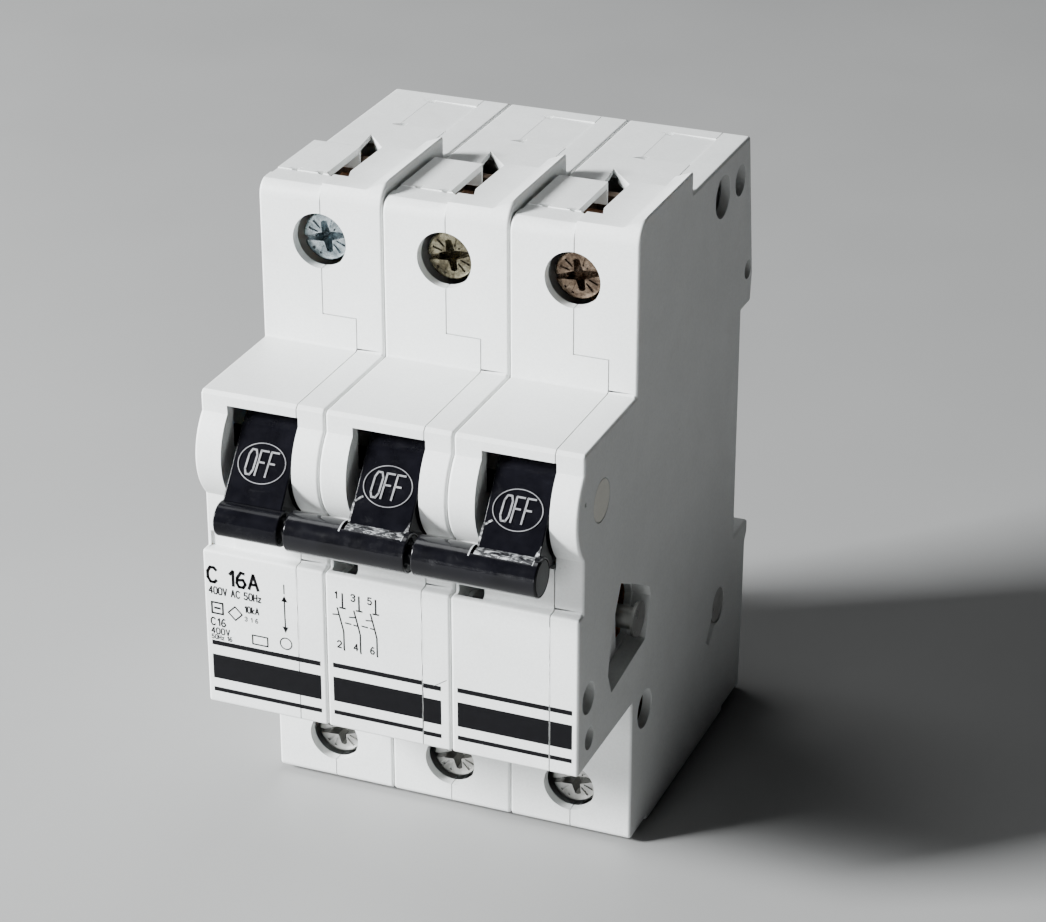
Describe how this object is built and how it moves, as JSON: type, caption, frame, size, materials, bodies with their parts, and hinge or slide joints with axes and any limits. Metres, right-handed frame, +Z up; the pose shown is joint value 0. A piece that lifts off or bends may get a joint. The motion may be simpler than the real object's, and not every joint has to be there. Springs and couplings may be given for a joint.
{
  "type": "miniature circuit breaker",
  "caption": "Rail-mounted modular circuit breaker with ganged black handles in a light grey moulded case with screw terminals.",
  "frame": {"origin": "middle of the overall box, at the level of the foot", "axes": "+X across the poles to the right as seen from the front, +Y from the handles towards the mounting rail, +Z up, from the load terminals to the line terminals"},
  "size_m": [0.0528, 0.0748, 0.0906],
  "materials": {
    "case_plastic": "satin light grey moulding",
    "handle_plastic": "glossy black moulding",
    "clip_plastic": "satin black moulding",
    "lever_plastic": "natural moulding",
    "zinc_steel": "zinc plated",
    "copper_strip": "bare copper strip and wire",
    "bimetal_strip": "rolled two-metal strip"
  },
  "bodies": {
    "casing": {"assembly_rivets": "zinc_steel", "base_shell_1": "case_plastic", "cover_shell_1": "case_plastic", "line_conductor_1": "copper_strip", "arc_chute_1": "zinc_steel", "trip_coil_1": "copper_strip", "bimetal_1": "bimetal_strip", "flex_lead_1": "copper_strip", "load_conductor_1": "copper_strip", "base_shell_2": "case_plastic", "cover_shell_2": "case_plastic", "line_conductor_2": "copper_strip", "arc_chute_2": "zinc_steel", "trip_coil_2": "copper_strip", "bimetal_2": "bimetal_strip", "flex_lead_2": "copper_strip", "load_conductor_2": "copper_strip", "base_shell_3": "case_plastic", "cover_shell_3": "case_plastic", "line_conductor_3": "copper_strip", "arc_chute_3": "zinc_steel", "trip_coil_3": "copper_strip", "bimetal_3": "bimetal_strip", "flex_lead_3": "copper_strip", "load_conductor_3": "copper_strip"},
    "handle_bar": {"handle_1": "handle_plastic", "handle_2": "handle_plastic", "handle_3": "handle_plastic", "tie_sleeve_1": "handle_plastic", "tie_sleeve_2": "handle_plastic"},
    "contact_arm_1": {"moving_contact_1": "copper_strip"},
    "plunger_1": {"trip_plunger_1": "zinc_steel"},
    "release_lever_1": {"trip_lever_1": "lever_plastic"},
    "line_screw_body_1": {"line_screw_1": "zinc_steel"},
    "line_cage_body_1": {"line_cage_1": "zinc_steel"},
    "load_screw_body_1": {"load_screw_1": "zinc_steel"},
    "load_cage_body_1": {"load_cage_1": "zinc_steel"},
    "rail_clip_1": {"din_clip_1": "clip_plastic"},
    "contact_arm_2": {"moving_contact_2": "copper_strip"},
    "plunger_2": {"trip_plunger_2": "zinc_steel"},
    "release_lever_2": {"trip_lever_2": "lever_plastic"},
    "line_screw_body_2": {"line_screw_2": "zinc_steel"},
    "line_cage_body_2": {"line_cage_2": "zinc_steel"},
    "load_screw_body_2": {"load_screw_2": "zinc_steel"},
    "load_cage_body_2": {"load_cage_2": "zinc_steel"},
    "rail_clip_2": {"din_clip_2": "clip_plastic"},
    "contact_arm_3": {"moving_contact_3": "copper_strip"},
    "plunger_3": {"trip_plunger_3": "zinc_steel"},
    "release_lever_3": {"trip_lever_3": "lever_plastic"},
    "line_screw_body_3": {"line_screw_3": "zinc_steel"},
    "line_cage_body_3": {"line_cage_3": "zinc_steel"},
    "load_screw_body_3": {"load_screw_3": "zinc_steel"},
    "load_cage_body_3": {"load_cage_3": "zinc_steel"},
    "rail_clip_3": {"din_clip_3": "clip_plastic"}
  },
  "joints": [
    {"name": "handle_swing", "type": "hinge", "parent": "casing", "child": "handle_bar", "pos_m": [0, -0.02321, 0.0582], "axis": [-1, 0, 0], "range_deg": [0, 55]},
    {"name": "contact_swing_1", "type": "hinge", "parent": "casing", "child": "contact_arm_1", "pos_m": [-0.0176, -0.00681, 0.044], "axis": [-1, 0, 0], "range_deg": [0, 22], "deforming": ["flex_lead_1"]},
    {"name": "plunger_slide_1", "type": "slide", "parent": "casing", "child": "plunger_1", "axis": [0, 0, 1], "range_m": [0, 0.002]},
    {"name": "lever_swing_1", "type": "hinge", "parent": "casing", "child": "release_lever_1", "pos_m": [-0.0176, 0.00119, 0.036], "axis": [1, 0, 0], "range_deg": [0, 8.68]},
    {"name": "line_screw_turn_1", "type": "hinge", "parent": "casing", "child": "line_screw_body_1", "pos_m": [-0.0176, -0.00681, 0.08175], "axis": [0, 1, 0], "range_deg": [0, 1620]},
    {"name": "line_cage_slide_1", "type": "slide", "parent": "casing", "child": "line_cage_body_1", "axis": [0, -1, 0], "range_m": [0, 0.0036]},
    {"name": "load_screw_turn_1", "type": "hinge", "parent": "casing", "child": "load_screw_body_1", "pos_m": [-0.0176, -0.00681, 0.00725], "axis": [0, 1, 0], "range_deg": [0, 1620]},
    {"name": "load_cage_slide_1", "type": "slide", "parent": "casing", "child": "load_cage_body_1", "axis": [0, -1, 0], "range_m": [0, 0.0036]},
    {"name": "clip_slide_1", "type": "slide", "parent": "casing", "child": "rail_clip_1", "axis": [0, 0, -1], "range_m": [0, 0.0028], "stiffness_N_per_m": 800},
    {"name": "contact_swing_2", "type": "hinge", "parent": "casing", "child": "contact_arm_2", "pos_m": [0, -0.00681, 0.044], "axis": [-1, 0, 0], "range_deg": [0, 22], "deforming": ["flex_lead_2"]},
    {"name": "plunger_slide_2", "type": "slide", "parent": "casing", "child": "plunger_2", "axis": [0, 0, 1], "range_m": [0, 0.002]},
    {"name": "lever_swing_2", "type": "hinge", "parent": "casing", "child": "release_lever_2", "pos_m": [0, 0.00119, 0.036], "axis": [1, 0, 0], "range_deg": [0, 8.68]},
    {"name": "line_screw_turn_2", "type": "hinge", "parent": "casing", "child": "line_screw_body_2", "pos_m": [0, -0.00681, 0.08175], "axis": [0, 1, 0], "range_deg": [0, 1620]},
    {"name": "line_cage_slide_2", "type": "slide", "parent": "casing", "child": "line_cage_body_2", "axis": [0, -1, 0], "range_m": [0, 0.0036]},
    {"name": "load_screw_turn_2", "type": "hinge", "parent": "casing", "child": "load_screw_body_2", "pos_m": [0, -0.00681, 0.00725], "axis": [0, 1, 0], "range_deg": [0, 1620]},
    {"name": "load_cage_slide_2", "type": "slide", "parent": "casing", "child": "load_cage_body_2", "axis": [0, -1, 0], "range_m": [0, 0.0036]},
    {"name": "clip_slide_2", "type": "slide", "parent": "casing", "child": "rail_clip_2", "axis": [0, 0, -1], "range_m": [0, 0.0028], "stiffness_N_per_m": 800},
    {"name": "contact_swing_3", "type": "hinge", "parent": "casing", "child": "contact_arm_3", "pos_m": [0.0176, -0.00681, 0.044], "axis": [-1, 0, 0], "range_deg": [0, 22], "deforming": ["flex_lead_3"]},
    {"name": "plunger_slide_3", "type": "slide", "parent": "casing", "child": "plunger_3", "axis": [0, 0, 1], "range_m": [0, 0.002]},
    {"name": "lever_swing_3", "type": "hinge", "parent": "casing", "child": "release_lever_3", "pos_m": [0.0176, 0.00119, 0.036], "axis": [1, 0, 0], "range_deg": [0, 8.68]},
    {"name": "line_screw_turn_3", "type": "hinge", "parent": "casing", "child": "line_screw_body_3", "pos_m": [0.0176, -0.00681, 0.08175], "axis": [0, 1, 0], "range_deg": [0, 1620]},
    {"name": "line_cage_slide_3", "type": "slide", "parent": "casing", "child": "line_cage_body_3", "axis": [0, -1, 0], "range_m": [0, 0.0036]},
    {"name": "load_screw_turn_3", "type": "hinge", "parent": "casing", "child": "load_screw_body_3", "pos_m": [0.0176, -0.00681, 0.00725], "axis": [0, 1, 0], "range_deg": [0, 1620]},
    {"name": "load_cage_slide_3", "type": "slide", "parent": "casing", "child": "load_cage_body_3", "axis": [0, -1, 0], "range_m": [0, 0.0036]},
    {"name": "clip_slide_3", "type": "slide", "parent": "casing", "child": "rail_clip_3", "axis": [0, 0, -1], "range_m": [0, 0.0028], "stiffness_N_per_m": 800}
  ],
  "couplings": [
    {"joint": "contact_swing_1", "follows": "handle_swing", "ratio": 0.4},
    {"joint": "lever_swing_1", "follows": "plunger_slide_1", "rad_per_m": 75.758},
    {"joint": "line_screw_turn_1", "follows": "line_cage_slide_1", "rad_per_m": 7854},
    {"joint": "load_screw_turn_1", "follows": "load_cage_slide_1", "rad_per_m": 7854},
    {"joint": "contact_swing_2", "follows": "handle_swing", "ratio": 0.4},
    {"joint": "lever_swing_2", "follows": "plunger_slide_2", "rad_per_m": 75.758},
    {"joint": "line_screw_turn_2", "follows": "line_cage_slide_2", "rad_per_m": 7854},
    {"joint": "load_screw_turn_2", "follows": "load_cage_slide_2", "rad_per_m": 7854},
    {"joint": "contact_swing_3", "follows": "handle_swing", "ratio": 0.4},
    {"joint": "lever_swing_3", "follows": "plunger_slide_3", "rad_per_m": 75.758},
    {"joint": "line_screw_turn_3", "follows": "line_cage_slide_3", "rad_per_m": 7854},
    {"joint": "load_screw_turn_3", "follows": "load_cage_slide_3", "rad_per_m": 7854}
  ]
}
